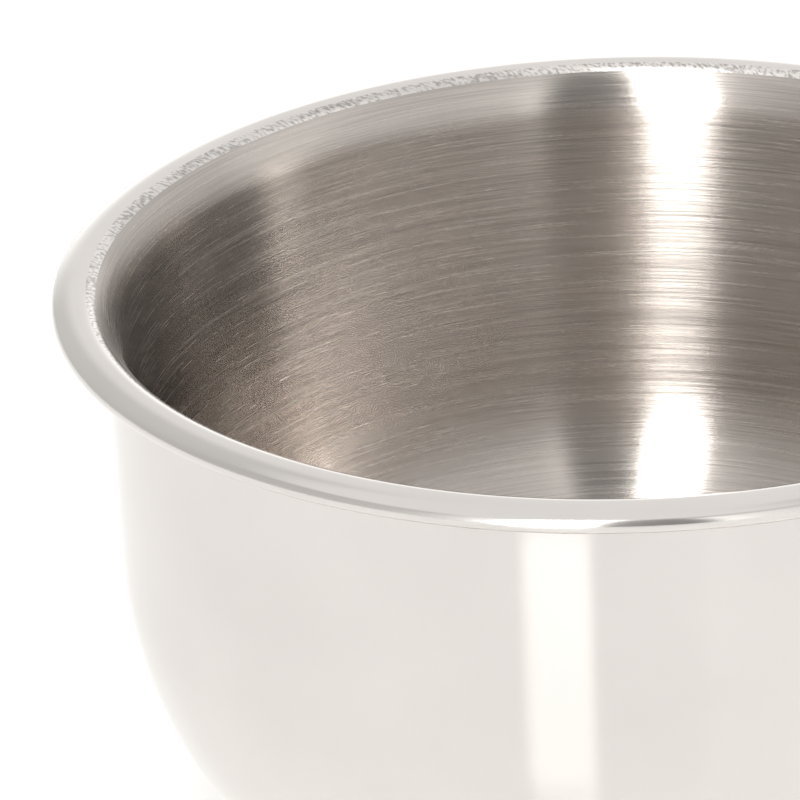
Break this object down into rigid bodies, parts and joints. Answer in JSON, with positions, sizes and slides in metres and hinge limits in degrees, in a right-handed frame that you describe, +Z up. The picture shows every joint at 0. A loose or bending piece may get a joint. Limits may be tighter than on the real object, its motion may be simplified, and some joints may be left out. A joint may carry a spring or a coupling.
{
  "type": "shaving mug",
  "caption": "Double-walled stainless steel lather mug: brushed bowl with a rolled lip, mirror-polished shell, pressed base and riveted strap handle.",
  "frame": {"origin": "centre of the flat base, on the surface that the mug stands on", "axes": "+Z up through the mug's opening, +X from the bowl's axis towards the handle, +Y completes a right-handed frame"},
  "size_m": [0.1214, 0.1, 0.056],
  "materials": {
    "polished_shell": "mirror-polished stainless steel",
    "brushed_bowl": "stainless steel, brushed round the wall, with a polished lip",
    "satin_base": "stainless steel, fine turned satin",
    "polished_handle": "mirror-polished stainless steel strap",
    "mill_steel": "stainless steel as rolled, hidden in the air gap",
    "polished_rivets": "polished stainless steel rivet heads"
  },
  "bodies": {
    "root": {"outer_shell": "polished_shell", "inner_bowl": "brushed_bowl", "base_plate": "satin_base", "handle": "polished_handle", "upper_backing_plate": "mill_steel", "lower_backing_plate": "mill_steel", "upper_rivets": "polished_rivets", "lower_rivets": "polished_rivets"}
  },
  "joints": []
}
